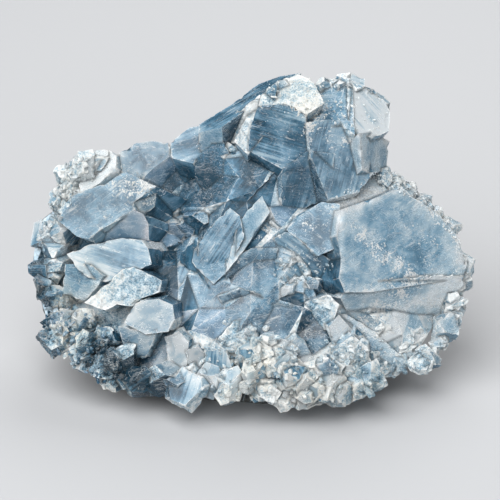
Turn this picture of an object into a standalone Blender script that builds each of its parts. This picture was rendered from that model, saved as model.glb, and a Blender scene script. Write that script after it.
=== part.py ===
"""A hand-sized cluster of celestine crystals, still sitting in a piece of its geode's rind.

Two solids are built: the rind, a thin bowl of grey rock that the specimen rests on, and the crystals,
which grew into each other and so are one solid. The big crystal faces are laid out on a plane that
leans back from the front edge of the base. A place on it is (across, rise, depth) in millimetres:
across to the right, rise up the leaning plane, and depth away from it, into the specimen.
"""

import math
import random

import bmesh
import bpy
from mathutils import Matrix, Vector, noise

MM = 0.001
LEAN_BACK = math.radians(25.0)
BASE_DROP = 6.0
MIDDLE_BACK = 40.0
GAP = 0.3
CRYSTAL_LIFT = 0.8
GROUND_BLOCK = 0.3

# The boulder form of the rind, its wall, and its large and small lumps.
RIND_CENTRE = Vector((-1.5, 38.0, 26.0))
RIND_RADII = Vector((53.5, 43.0, 32.0))
RIND_WALL = 3.4
RIND_LUMPS = 3.6
SMALL_LUMPS = 0.6 * RIND_LUMPS
RIND_DETAIL = 3

# The blocks that cut the crystals' and the rind's front: half sizes, middle, back and grid steps.
BLOCK_ACROSS = 70
BLOCK_RISE = 75
BLOCK_MIDDLE = 40
BLOCK_FRONT = -70.0
GRID_JITTER = 0.8
CORE_STEP = 6.5
RIM_STEP = 5.0

# The dish of crystal tips: how it falls back upwards and towards the sides.
DISH_RISE = 0.22
DISH_SIDE = 0.006

# The massive crystal under the tips: how far behind them it starts, and where it ends.
CORE_BEHIND = 3.5
CORE_BEHIND_RISE = 0.08
CORE_BEHIND_TOP = 45.0
CORE_WAVE = 2.5
MASS_FRONT = -10.0
MASS_BACK = 30.0
MASS_TAPER = 0.9

# Dents in the massive crystal: across, rise, half width, half height, depth.
LOWER_HOLLOW = (-18, 43, 8, 8, 13.0)
UPPER_HOLLOW = (-18, 55, 9, 9, 13.0)
SLOT = (17, 29, 3.5, 4, 7.0)

# The broken edge of the rind, with its tongue at the lower left, set back at the top and at the right.
RIM_DEPTH = 14.0
RIM_RISE = 0.35
RIM_WAVE = 3.0
RIM_CHIPS = 1.2
TONGUE = (-40, 14, 16, 16, 7.0)
RIM_TOP_FROM = 50
RIM_TOP_BACK = 0.04
RIM_RIGHT_FROM = 30
RIM_RIGHT_OVER = 12
RIM_RIGHT_BACK = 5.0

# The mineral's cell edges in angstroms, and the Miller indices of the faces that its crystals show.
CELL = Vector((8.359, 5.352, 6.866))
BASAL = [(0, 0, 1), (0, 0, -1)]
PRISM = [(2, 1, 0), (2, -1, 0), (-2, 1, 0), (-2, -1, 0)]
DOME = [(0, 1, 1), (0, -1, 1), (0, 1, -1), (0, -1, -1)]
CHISEL = [(1, 0, 2), (-1, 0, 2), (1, 0, -2), (-1, 0, -2)]

CHISEL_CHANCE = 0.5
CHISEL_REACH = 1.05
FACE_PLAY = 0.15

# The place that the big crystals grew from, and how strongly they point at it.
ROOT = Vector((0.0, 30.0, 42.0))
ROOT_PULL = Vector((0.45, 0.4))

# How far a small crystal may lie off its run's depth, and how much of its size it sinks in.
RUN_PLAY = 1.0
RUN_SINK = 0.4

# Each face: name, depth of its middle, lean up and turn right in degrees, length, flare, corners.
FACES = [
    ("crown_left", 14.0, -12, -22, 26, 1.05,
     [(2, 74), (9, 74.3), (14, 71.5), (15, 62), (9.5, 57.5), (-0.5, 63), (0, 68.5)]),
    ("crown_right", 13.3, -5, 18, 26, 1.0,
     [(14, 70), (22, 70.5), (25, 67), (27.5, 66.5), (31, 57.5), (27.5, 52.5), (19.5, 50.5), (15, 61)]),
    ("crown_foot", 16.0, -30, -5, 22, 1.0,
     [(14, 62.5), (21, 62), (20.5, 50.5), (15.5, 49.5), (9.5, 45.5), (7.5, 51), (8, 58)]),
    ("crown_side", 17.5, -5, 58, 18, 1.0,
     [(27, 67), (32, 67.5), (35.5, 65.5), (34.5, 58.5), (31, 57), (28, 58)]),
    ("crown_top_left", 16.0, 44, -10, 24, 1.0,
     [(2, 74), (3, 77), (7, 80.5), (12, 82.5), (14, 81.5), (16, 80), (18.5, 74.5), (14, 71.5), (9, 74)]),
    ("crown_top_middle", 16.0, 40, 5, 24, 1.0,
     [(15.5, 80), (19.5, 81.5), (26, 81), (26, 66.5), (23, 69), (19, 68.5), (15.5, 70.5), (13, 71.5)]),
    ("crown_top_right", 19.0, 33, 32, 20, 1.0,
     [(24.5, 81), (31, 78.5), (34, 76.5), (35.5, 73), (35, 68), (31, 66), (27.5, 66.5), (24.5, 71)]),
    ("blade_ridge", 24.0, 50, -39, 22, 1.0,
     [(-13, 67.5), (-13, 70), (-5, 75), (2, 80.5), (7.5, 82.5), (13, 83), (8, 79), (2.5, 76), (-7, 69)]),
    ("blade_flank", 22.0, -10, -34, 22, 1.0,
     [(-8.5, 69.5), (2.5, 77), (3, 72), (0, 66), (-3.5, 65), (-8, 66)]),
    ("blade_edge", 18.0, 8, -42, 18, 1.0,
     [(7, 80.5), (1, 75.5), (-2, 70), (-4, 65.5), (-0.5, 62), (3, 66), (6, 74)]),
    ("blade_foot", 23.5, -10, -20, 16, 1.0,
     [(-7.5, 66.5), (-1.5, 63), (-0.5, 56), (-4.5, 56)]),
    ("frosted_knob", 23.5, -6, -14, 20, 1.0,
     [(-14, 61), (-10.5, 64.5), (-7.5, 66.5), (-6, 64.5), (-4, 58.5), (-2, 55.5), (-3.5, 53),
      (-8.5, 50.5), (-12, 53.5), (-14.2, 57)]),
    ("ridge_saddle", 27.0, 28, -8, 18, 1.0,
     [(-20.5, 65.5), (-15.5, 69.5), (-12.5, 70), (-7, 68.5), (-6.5, 65.5), (-11.5, 62),
      (-14.5, 60), (-20, 61.5)]),
    ("hollow_wall", 31.0, 0, 14, 14, 1.1,
     [(-27, 57), (-20.5, 62), (-14, 61), (-13.5, 54.5), (-10, 51), (-7.5, 47.5), (-12, 44),
      (-14, 41), (-18, 47), (-24, 49.5)]),
    ("left_shoulder", 18.0, 24, -14, 22, 1.05,
     [(-48.5, 45.5), (-46.5, 50.5), (-43.5, 52.5), (-36, 55), (-31.5, 58), (-28, 56), (-23.5, 54),
      (-29, 50), (-29, 47.5), (-37.5, 43), (-40.5, 40.5), (-43.5, 41.5)]),
    ("left_window", 17.6, -5, 25, 20, 1.0,
     [(-29.5, 50), (-23.5, 54), (-24, 49), (-26.5, 46.5), (-30, 46)]),
    ("left_underside", 17.4, -32, 5, 20, 1.0,
     [(-38, 43), (-29, 48), (-26.5, 47), (-25.5, 44.5), (-25.5, 40.5), (-27, 39.5), (-38, 40)]),
    ("left_upper", 24.0, 30, -12, 20, 1.0,
     [(-43.5, 54.5), (-42.5, 56.5), (-37.5, 61.5), (-36, 63.5), (-34, 62.5), (-34, 59), (-38, 55),
      (-43, 52)]),
    ("grey_upper", 26.5, 20, 4, 20, 1.0,
     [(-34, 62.5), (-29, 65.5), (-25, 66), (-21, 65.5), (-20.5, 62), (-24.5, 59), (-27.5, 56),
      (-31.5, 57), (-35, 59)]),
    ("left_streaked", 15.5, 10, -6, 24, 1.05,
     [(-46, 37), (-40, 39.5), (-32, 41), (-27, 40.5), (-25.5, 38.5), (-24.5, 34.5), (-29, 32.5),
      (-36, 30), (-42, 31.5)]),
    ("left_cheek", 16.5, -4, -26, 20, 1.1,
     [(-46.5, 34.5), (-40, 34.5), (-36.5, 31.5), (-38, 29), (-41.5, 25), (-47.5, 27)]),
    ("left_splinter", 12.0, 18, 2, 22, 1.1,
     [(-41, 25), (-32, 33), (-29, 33.8), (-22, 30.5), (-22.5, 27.5), (-27, 26), (-29, 24),
      (-33, 24.5), (-36, 23)]),
    ("pebble", 6.5, 14, -8, 22, 1.1,
     [(-31, 20), (-29, 24.5), (-26.5, 25.5), (-22.5, 26), (-19, 24.5), (-18.5, 21), (-20, 18),
      (-25.5, 17.3)]),
    ("pebble_foot", 7.0, -12, -12, 20, 1.1,
     [(-32.5, 19), (-25.5, 18), (-23, 18.5), (-24, 15), (-25.5, 11.5), (-28.5, 11), (-31, 14)]),
    ("hollow_ledge", 29.5, -10, 10, 14, 1.1,
     [(-27, 47), (-23, 48.5), (-16, 49), (-14.5, 42), (-19, 41), (-22.5, 42), (-26, 41)]),
    ("hollow_chip", 24.5, 24, 12, 16, 1.0,
     [(-24.5, 41), (-21.5, 42.5), (-19, 42), (-15.5, 40.5), (-21.5, 38.5), (-23, 39.5)]),
    ("hollow_sill", 21.0, 0, 30, 16, 1.1,
     [(-22.5, 30.5), (-17.5, 33), (-14, 27), (-13, 18), (-16.5, 18), (-19, 22), (-22.5, 27)]),
    ("middle_left", 16.5, 0, -36, 22, 1.0,
     [(-17.5, 37.5), (-13, 41.5), (-13, 34), (-10, 28.5), (-13.5, 27), (-17, 31), (-17.7, 35.5)]),
    ("middle_prism", 13.5, 4, -24, 24, 1.0,
     [(-14.5, 35), (-14, 38), (-10, 44), (-5, 48.5), (-2.5, 46.5), (-1.5, 41), (-5.5, 33),
      (-9, 29.5), (-13.5, 33.5)]),
    ("middle_blade", 12.5, 2, 22, 24, 1.0,
     [(-3, 44.5), (-0.5, 48), (3, 51.5), (5, 47.5), (-1.5, 38), (-6, 32.5), (-4.5, 39)]),
    ("middle_blue", 14.0, -12, 12, 20, 1.0,
     [(-6, 35.5), (1, 38.5), (7, 38.5), (6.5, 28), (2.5, 22.5), (-6, 28)]),
    ("middle_base", 11.5, -14, 0, 22, 1.1,
     [(-8, 26.5), (-2.5, 28.5), (2.5, 27), (4.5, 24.5), (10.5, 24.5), (10, 20), (2, 16),
      (-0.5, 20), (-5.5, 22)]),
    ("inner_right", 14.0, 10, -12, 22, 1.0,
     [(9, 43), (11.5, 46.5), (14, 48), (18, 50), (22.5, 49.5), (22, 42.5), (22.5, 39), (17, 36.5)]),
    ("inner_right_foot", 15.5, -22, -12, 20, 1.05,
     [(6, 41), (9.5, 42.5), (17, 37.5), (22.5, 34), (20, 30), (12, 29), (7, 35)]),
    ("right_great", 16.0, 5, 21, 30, 1.0,
     [(22.5, 48), (32.5, 51.5), (38, 54), (41, 51.5), (44, 49.5), (47.5, 47.5), (52.5, 41.5), (55, 36),
      (54.5, 31), (44, 29.5), (29.5, 27.5), (23.5, 27.5), (22, 31), (22.5, 36), (21.5, 41.5)]),
    ("right_under", 20.3, -26, 21, 26, 1.0,
     [(23.5, 29.5), (29.5, 30), (44, 31.5), (54.5, 31.5), (54.2, 25), (52.5, 20), (49, 14), (43, 10),
      (40, 8.5), (30, 16), (25, 21), (22.5, 26)]),
    ("right_scar", 13.5, -6, -4, 24, 1.1,
     [(24.5, 22), (30.5, 18), (40, 9.5), (36, 6), (31, 6.5), (28.5, 14), (24.5, 17), (22, 22)]),
    ("right_shoulder", 20.0, 34, 6, 24, 1.0,
     [(27, 53), (31, 57.5), (34.5, 58.3), (38.5, 57), (41, 54), (38, 53), (32.5, 50), (22.5, 47),
      (21, 49.7)]),
    ("front_prism", 6.0, -8, -16, 22, 1.1,
     [(-12.5, 1.8), (-11, 13), (-8.5, 15.5), (-6, 13.5), (-4, 8.5), (-4.5, 1.5), (-8, 2.5)]),
    ("front_lens", 6.0, 4, 28, 18, 1.1,
     [(-16, 13), (-13, 14.5), (-11, 12.5), (-11.5, 6.5), (-14, 6.5)]),
    ("front_wedge", 6.5, 2, -20, 20, 1.15,
     [(-21, 16.5), (-17.5, 18), (-15, 15.5), (-15.5, 9), (-17.5, 7.5), (-20, 10)]),
    ("front_cap", 8.0, 14, 4, 20, 1.1,
     [(-8, 16), (-4, 20.5), (-0.5, 21), (2, 17), (1.5, 12.5), (-4.5, 12), (-6.5, 13.5)]),
    ("front_tab", 3.5, -20, 16, 18, 1.1,
     [(0, 2), (5.5, 6.5), (7.5, 5.5), (4, 1.2), (1, 0)]),
    ("slot_window", 13.0, 2, 22, 16, 1.0,
     [(12.5, 20.5), (14, 19), (19, 14), (18, 11), (15, 11), (13, 15.5)]),
    ("slot_upper", 11.0, -8, -26, 22, 1.05,
     [(13.5, 25), (19.5, 27), (22, 24.5), (20, 18.5), (16, 17.5), (13, 21)]),
    ("slot_right", 10.0, 2, 24, 22, 1.05,
     [(19.5, 19), (22, 22), (26, 17.5), (29, 14), (25.5, 10.5), (21, 14)]),
    ("front_right", 8.5, -12, 8, 22, 1.1,
     [(21.5, 14.5), (25.5, 17), (29, 14), (31, 7.5), (28.5, 3.5), (23, 3.5), (20, 10)]),
    ("front_middle", 5.0, 4, -4, 22, 1.1,
     [(1, 10), (11.5, 16.5), (14, 14.5), (16, 10.5), (16, 6.5), (7.5, 0.5), (2, 4)]),
]

# The outline, corner by corner, of the massive crystal that joins the faces behind.
MASS = [
    (-37, 60), (-43, 55), (-47, 46), (-50, 35), (-49, 24), (-44, 14), (-36, 9), (-25, 6), (-10, 5),
    (8, 3), (22, 4), (34, 6), (44.5, 11.5), (50.5, 19), (52.5, 30), (51, 37), (45, 46), (38, 52), (30, 60),
    (20, 68), (8, 66), (-8, 62), (-22, 62),
]

# Runs of small crystals: name, count, smallest and largest size, spread, depth offset, route.
RUNS = [
    ("front_edge", 23, 2.6, 4.6, 1.6, 0.5,
     [(-45.5, 11), (-38, 7), (-30, 5.4), (-20, 5.2), (-10, 5.2), (0, 4.2), (8, 3.4), (14, 3.8),
      (22, 4.2), (29, 5)]),
    ("left_edge", 16, 2.6, 4.2, 1.5, 1.5,
     [(-48.5, 44), (-51, 36), (-51.5, 28), (-49.5, 20), (-45, 14)]),
    ("left_field", 13, 3.0, 5.4, 5.0, -1.0, [(-46, 22), (-40, 15), (-33, 9)]),
    ("left_lumps", 10, 2.4, 3.8, 1.4, 1.5, [(-47.5, 50), (-45.5, 55), (-42.5, 59), (-39, 61.5)]),
    ("right_crumble", 10, 2.0, 3.4, 1.2, 2.5, [(33, 56), (37, 54.5), (42, 50.5), (46, 46.5), (50, 41)]),
    ("right_edge", 12, 2.2, 3.4, 1.0, 1.0, [(54, 36), (54, 29), (52, 21.5), (48, 14.5), (42, 9)]),
    ("sugar_field", 20, 2.6, 4.6, 3.0, -0.5, [(-3, 6), (4, 13), (12, 5), (20, 8)]),
    ("hollow_floor", 9, 2.4, 4.0, 2.2, 15.0, [(-21, 36), (-19, 33), (-17, 44), (-12, 47)]),
    ("crown_rim", 10, 1.8, 3.0, 0.8, 2.0, [(4, 77), (15, 79), (22, 80), (30, 77.5), (34, 73)]),
    ("seams", 12, 2.0, 3.4, 1.8, 8.0, [(5, 44), (9, 40), (10, 27), (14, 30), (20, 28)]),
    ("crown_back", 8, 4.5, 8.0, 4.0, 24.0, [(-8, 62), (8, 68), (20, 68), (30, 62)]),
    ("upper_back", 8, 4.0, 7.0, 4.0, 20.0, [(-44, 46), (-34, 54), (-20, 56), (-8, 58), (34, 52), (44, 44)]),
]


def laid(across, rise, depth):
    """The point at that place on the leaning plane, in metres, standing on the base."""
    return Vector((
        across,
        rise * math.sin(LEAN_BACK) + depth * math.cos(LEAN_BACK) - MIDDLE_BACK,
        rise * math.cos(LEAN_BACK) - depth * math.sin(LEAN_BACK) + BASE_DROP,
    )) * MM


def front_depth(across, rise):
    """How deep the crystal tips lie: a shallow dish that falls back to the sides and upwards."""
    return DISH_RISE * rise + DISH_SIDE * across * across


def dent(across, rise, place):
    """How deep a round-edged dent is at that place on the plane."""
    middle_across, middle_rise, half_width, half_height, depth = place
    away = ((across - middle_across) / half_width) ** 2 + ((rise - middle_rise) / half_height) ** 2
    return depth * math.exp(-away)


def core_depth(across, rise):
    """How deep the massive base of the crystals starts, with the hollow left of the middle."""
    hollow = max(dent(across, rise, LOWER_HOLLOW), dent(across, rise, UPPER_HOLLOW))
    wave = CORE_WAVE * noise.noise(Vector((across, rise, 3.0)) * 0.16)
    behind = CORE_BEHIND + CORE_BEHIND_RISE * max(0.0, min(CORE_BEHIND_TOP, rise))
    return front_depth(across, rise) + behind + hollow + dent(across, rise, SLOT) + wave


def rim_depth(across, rise):
    """How deep the broken edge of the rind lies."""
    wave = RIM_WAVE * noise.noise(Vector((across, rise, 9.0)) * 0.11)
    chips = RIM_CHIPS * noise.noise(Vector((across, rise, 5.0)) * 0.35)
    top = RIM_TOP_BACK * max(0.0, rise - RIM_TOP_FROM) ** 2
    right = RIM_RIGHT_BACK * min(1.0, max(0.0, (across - RIM_RIGHT_FROM) / RIM_RIGHT_OVER))
    return RIM_DEPTH + RIM_RISE * rise + top + right - dent(across, rise, TONGUE) + wave + chips


def add_object(name, bm):
    """Makes an object of the bmesh, with its faces pointing out, and frees the bmesh."""
    bmesh.ops.recalc_face_normals(bm, faces=bm.faces)
    mesh = bpy.data.meshes.new(name)
    bm.to_mesh(mesh)
    bm.free()
    obj = bpy.data.objects.new(name, mesh)
    bpy.context.scene.collection.objects.link(obj)
    return obj


def boolean(obj, operation, cutters, solver="EXACT"):
    """Joins or cuts the object with one cutter, or with many at once, then removes the cutters."""
    modifier = obj.modifiers.new("boolean", "BOOLEAN")
    modifier.operation = operation
    modifier.solver = solver
    if len(cutters) == 1:
        modifier.object = cutters[0]
    else:
        modifier.operand_type = "COLLECTION"
        modifier.collection = bpy.data.collections.new("cutters")
        for cutter in cutters:
            modifier.collection.objects.link(cutter)
    bpy.context.view_layer.update()
    graph = bpy.context.evaluated_depsgraph_get()
    mesh = bpy.data.meshes.new_from_object(obj.evaluated_get(graph))
    obj.modifiers.clear()
    obj.data = mesh
    for cutter in cutters:
        bpy.data.objects.remove(cutter)
    for group in list(bpy.data.collections):
        bpy.data.collections.remove(group)


def rind_shape(name, inset):
    """The lumpy boulder form of the rind, moved in by the inset and cut flat where it rests."""
    bm = bmesh.new()
    bmesh.ops.create_icosphere(bm, subdivisions=RIND_DETAIL, radius=1.0)
    for vert in bm.verts:
        way = vert.co.copy()
        lump = noise.noise(way * 1.7) * RIND_LUMPS + noise.noise(way * 4.0) * SMALL_LUMPS
        for axis in range(3):
            vert.co[axis] = way[axis] * (RIND_RADII[axis] - inset + lump)
        vert.co += RIND_CENTRE
        vert.co.y -= MIDDLE_BACK
    cut = bmesh.ops.bisect_plane(
        bm, geom=bm.verts[:] + bm.edges[:] + bm.faces[:], plane_co=(0, 0, inset), plane_no=(0, 0, -1),
        clear_outer=True)
    rim = [part for part in cut["geom_cut"] if isinstance(part, bmesh.types.BMEdge)]
    bmesh.ops.contextual_create(bm, geom=rim)
    bmesh.ops.scale(bm, vec=(MM, MM, MM), verts=bm.verts)
    return add_object(name, bm)


def block_before(name, depth_of, step, shift=0.0):
    """A block that fills the space in front of the wavy surface given by depth_of."""
    across_count = round(2 * BLOCK_ACROSS / step)
    rise_count = round(2 * BLOCK_RISE / step)
    bm = bmesh.new()
    bmesh.ops.create_grid(bm, x_segments=across_count, y_segments=rise_count, size=1.0)
    top = bm.faces[:]
    bmesh.ops.extrude_face_region(bm, geom=top)
    fresh = set(bm.faces) - set(top)
    front = {vert for face in fresh for vert in face.verts} - {vert for face in top for vert in face.verts}
    for vert in bm.verts:
        across, rise = vert.co.x * BLOCK_ACROSS, vert.co.y * BLOCK_RISE + BLOCK_MIDDLE
        across += GRID_JITTER * step * noise.noise((across, rise, 1.0))
        rise += GRID_JITTER * step * noise.noise((across, rise, 7.0))
        depth = BLOCK_FRONT if vert in front else depth_of(across, rise) - shift
        vert.co = laid(across, rise, depth)
    bmesh.ops.triangulate(bm, faces=bm.faces, quad_method="FIXED")
    return add_object(name, bm)


def prism(name, ends):
    """A solid between two outlines that have the same number of corners."""
    bm = bmesh.new()
    rings = [[bm.verts.new(laid(*point)) for point in end] for end in ends]
    for ring in rings:
        bm.faces.new(ring)
    count = len(ends[0])
    for i in range(count):
        after = (i + 1) % count
        bm.faces.new((rings[0][i], rings[0][after], rings[1][after], rings[1][i]))
    return add_object(name, bm)


def face_crystal(name, depth, lean, turn, length, flare, corners):
    """A crystal whose front face is that outline, and whose body runs back towards the root."""
    lean, turn = math.radians(lean), math.radians(turn)
    normal = Vector((math.sin(turn) * math.cos(lean), math.sin(lean), math.cos(turn) * math.cos(lean)))
    middle = Vector((sum(c[0] for c in corners), sum(c[1] for c in corners))) / len(corners)
    front = []
    for across, rise in corners:
        slope = (normal.x * (across - middle.x) + normal.y * (rise - middle.y)) / normal.z
        front.append(Vector((across, rise, depth + slope)))
    centre = Vector((middle.x, middle.y, depth))
    aim = Vector((middle.x, middle.y, ROOT.z))
    for axis in range(2):
        aim[axis] += ROOT_PULL[axis] * (ROOT[axis] - middle[axis])
    shift = (aim - centre).normalized() * length
    back = [centre + (point - centre) * flare + shift for point in front]
    return prism(name, [front, back])


def habit_crystal(name, centre, turn, half_sizes, chance):
    """A celestine crystal: a block cut by the basal, prism, dome and chisel faces of the mineral."""
    bm = bmesh.new()
    bmesh.ops.create_cube(bm, size=6.0 * max(half_sizes))
    forms = [(BASAL, half_sizes[2]), (PRISM, half_sizes[0]), (DOME, half_sizes[1])]
    if chance.random() < CHISEL_CHANCE:
        forms.append((CHISEL, half_sizes[2] * CHISEL_REACH))
    for planes, reach in forms:
        for index in planes:
            way = Vector([index[axis] / CELL[axis] for axis in range(3)]).normalized()
            cut = bmesh.ops.bisect_plane(
                bm, geom=bm.verts[:] + bm.edges[:] + bm.faces[:],
                plane_co=way * reach * chance.uniform(1 - FACE_PLAY, 1 + FACE_PLAY), plane_no=way,
                clear_outer=True)
            rim = [part for part in cut["geom_cut"] if isinstance(part, bmesh.types.BMEdge)]
            if rim:
                bmesh.ops.contextual_create(bm, geom=rim)
    bmesh.ops.scale(bm, vec=(MM, MM, MM), verts=bm.verts)
    bmesh.ops.transform(bm, matrix=Matrix.Translation(centre) @ turn, verts=bm.verts)
    return add_object(name, bm)


def along(route, share):
    """The point at that share of the way along a route of straight stretches."""
    reach = share * (len(route) - 1)
    step = min(int(reach), len(route) - 2)
    return Vector(route[step]).lerp(Vector(route[step + 1]), reach - step)


def crystal_run(name, count, smallest, largest, spread, offset, route):
    """Small crystals strewn along a route, each turned its own way."""
    chance = random.Random(name)
    made = []
    for i in range(count):
        place = along(route, (i + chance.random()) / count)
        across = place.x + chance.uniform(-spread, spread)
        rise = place.y + chance.uniform(-spread, spread)
        size = chance.uniform(smallest, largest)
        depth = front_depth(across, rise) + offset + chance.uniform(-RUN_PLAY, RUN_PLAY) + RUN_SINK * size
        axis = Vector([chance.gauss(0, 1) for _ in range(3)]).normalized()
        turn = Matrix.Rotation(chance.uniform(0, math.tau), 4, axis)
        half_sizes = (size, size * chance.uniform(0.7, 1.2), size * chance.uniform(0.6, 0.9))
        made.append(habit_crystal(f"{name}_{i}", laid(across, rise, depth), turn, half_sizes, chance))
    return made


def keep_largest(obj):
    """Drops chips and bubbles, which share no edge with the main body."""
    bm = bmesh.new()
    bm.from_mesh(obj.data)
    waiting = set(bm.faces)
    islands = []
    while waiting:
        island, fresh = [], [waiting.pop()]
        while fresh:
            face = fresh.pop()
            island.append(face)
            near = {other for edge in face.edges for other in edge.link_faces} & waiting
            waiting -= near
            fresh += near
        islands.append(island)
    islands.sort(key=len)
    for island in islands[:-1]:
        bmesh.ops.delete(bm, geom=island, context="FACES")
    bm.to_mesh(obj.data)
    bm.free()


def centre_on_base(objects):
    """Moves the objects together so that the middle of their box's bottom is the origin."""
    points = [vert.co for obj in objects for vert in obj.data.vertices]
    low = Vector([min(point[axis] for point in points) for axis in range(3)])
    high = Vector([max(point[axis] for point in points) for axis in range(3)])
    move = Matrix.Translation(-Vector(((low.x + high.x) / 2, (low.y + high.y) / 2, low.z)))
    for obj in objects:
        obj.data.transform(move)


def block_below(name, height):
    """A block that fills the space under that height."""
    bm = bmesh.new()
    bmesh.ops.create_cube(bm, size=GROUND_BLOCK)
    bmesh.ops.translate(bm, vec=(0, 0, height * MM - GROUND_BLOCK / 2), verts=bm.verts)
    return add_object(name, bm)


def finish(obj, colour, roughness):
    """Gives the object its own material."""
    material = bpy.data.materials.new(obj.name)
    material.use_nodes = True
    shader = material.node_tree.nodes["Principled BSDF"]
    shader.inputs["Base Color"].default_value = (*colour, 1.0)
    shader.inputs["Roughness"].default_value = roughness
    shader.inputs["Metallic"].default_value = 0.0
    obj.data.materials.clear()
    obj.data.materials.append(material)
    for polygon in obj.data.polygons:
        polygon.material_index = 0


def build_rind():
    """The bowl of rock: the boulder form, hollowed and broken off along the rim."""
    rind = rind_shape("matrix_rind", 0.0)
    boolean(rind, "DIFFERENCE", [rind_shape("hollow", RIND_WALL)])
    boolean(rind, "DIFFERENCE", [block_before("broken_off", rim_depth, RIM_STEP)])
    keep_largest(rind)
    finish(rind, (0.26, 0.28, 0.28), 0.85)
    return rind


def build_crystals():
    """All the crystals as one solid, fitted into the rind with a small gap."""
    crystals = rind_shape("celestite_crystals", RIND_WALL + GAP)
    front = [Vector((across, rise, MASS_FRONT)) for across, rise in MASS]
    back = [Vector((across * MASS_TAPER, rise, MASS_BACK)) for across, rise in MASS]
    boolean(crystals, "UNION", [prism("mass", [front, back])])
    boolean(crystals, "DIFFERENCE", [block_before("open_side", core_depth, CORE_STEP)])
    parts = [face_crystal(*face) for face in FACES]
    for run in RUNS:
        parts += crystal_run(*run)
    boolean(crystals, "UNION", parts)
    room = rind_shape("room", RIND_WALL + GAP)
    boolean(room, "UNION", [block_before("front_room", rim_depth, RIM_STEP, GAP)])
    boolean(crystals, "INTERSECT", [room], "MANIFOLD")
    boolean(crystals, "DIFFERENCE", [block_below("ground", CRYSTAL_LIFT)], "MANIFOLD")
    keep_largest(crystals)
    finish(crystals, (0.38, 0.50, 0.60), 0.2)
    return crystals


for old in list(bpy.data.objects):
    bpy.data.objects.remove(old)
centre_on_base([build_rind(), build_crystals()])
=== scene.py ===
"""Looks of the celestine cluster: faceted crystals, sugary crusts, rind, stage, lights and camera."""

import math
import random

import bmesh
import bpy
import numpy as np
from mathutils import Matrix, Vector, noise
from mathutils.bvhtree import BVHTree


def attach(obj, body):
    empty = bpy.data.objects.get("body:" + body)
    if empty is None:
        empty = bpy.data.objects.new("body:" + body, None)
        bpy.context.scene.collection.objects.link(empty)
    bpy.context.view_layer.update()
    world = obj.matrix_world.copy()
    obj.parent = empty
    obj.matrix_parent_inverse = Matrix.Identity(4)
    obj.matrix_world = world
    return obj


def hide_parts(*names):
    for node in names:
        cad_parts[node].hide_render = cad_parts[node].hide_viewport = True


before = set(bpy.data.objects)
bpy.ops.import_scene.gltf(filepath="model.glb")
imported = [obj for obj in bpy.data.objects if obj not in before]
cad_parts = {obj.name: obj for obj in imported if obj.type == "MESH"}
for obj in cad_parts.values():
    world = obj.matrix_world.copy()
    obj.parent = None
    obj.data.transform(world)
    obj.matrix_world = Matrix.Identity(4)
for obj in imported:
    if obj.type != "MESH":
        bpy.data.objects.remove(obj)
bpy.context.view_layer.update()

# The plane square to the photo's view: across to the right, rise upwards, depth away, all in mm
MM = 0.001
LEAN = math.radians(25)
RIGHT = Vector((1, 0, 0))
UPWARD = Vector((0, math.sin(LEAN), math.cos(LEAN)))
INWARD = Vector((0, math.cos(LEAN), -math.sin(LEAN)))
PLANE_ZERO = Vector((-0.512, -40.892, 6.0)) * MM
VIEW_MIDDLE = (0.0, 38.0, 15.0)
VIEW_WIDTH = 125.0
LENS = 150.0
SENSOR = 36.0
CAMERA_GAP = VIEW_WIDTH * LENS / SENSOR


def on_plane(across, rise, depth=0.0):
    """A point of the row frame, in metres, from its place on the view's plane in mm."""
    return PLANE_ZERO + (RIGHT * across + UPWARD * rise + INWARD * depth) * MM


def plane_place(point):
    """Where a point of the row frame lies on the view's plane: across, rise and depth in mm."""
    gap = (point - PLANE_ZERO) / MM
    return gap.dot(RIGHT), gap.dot(UPWARD), gap.dot(INWARD)


EYE = on_plane(VIEW_MIDDLE[0], VIEW_MIDDLE[1], VIEW_MIDDLE[2] - CAMERA_GAP)


# The finishes of the crystals' facets, in the order of the piece's material slots
FINISHES = ("smooth", "lined", "hazy", "speckled", "deep", "crushed", "grey")

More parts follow.
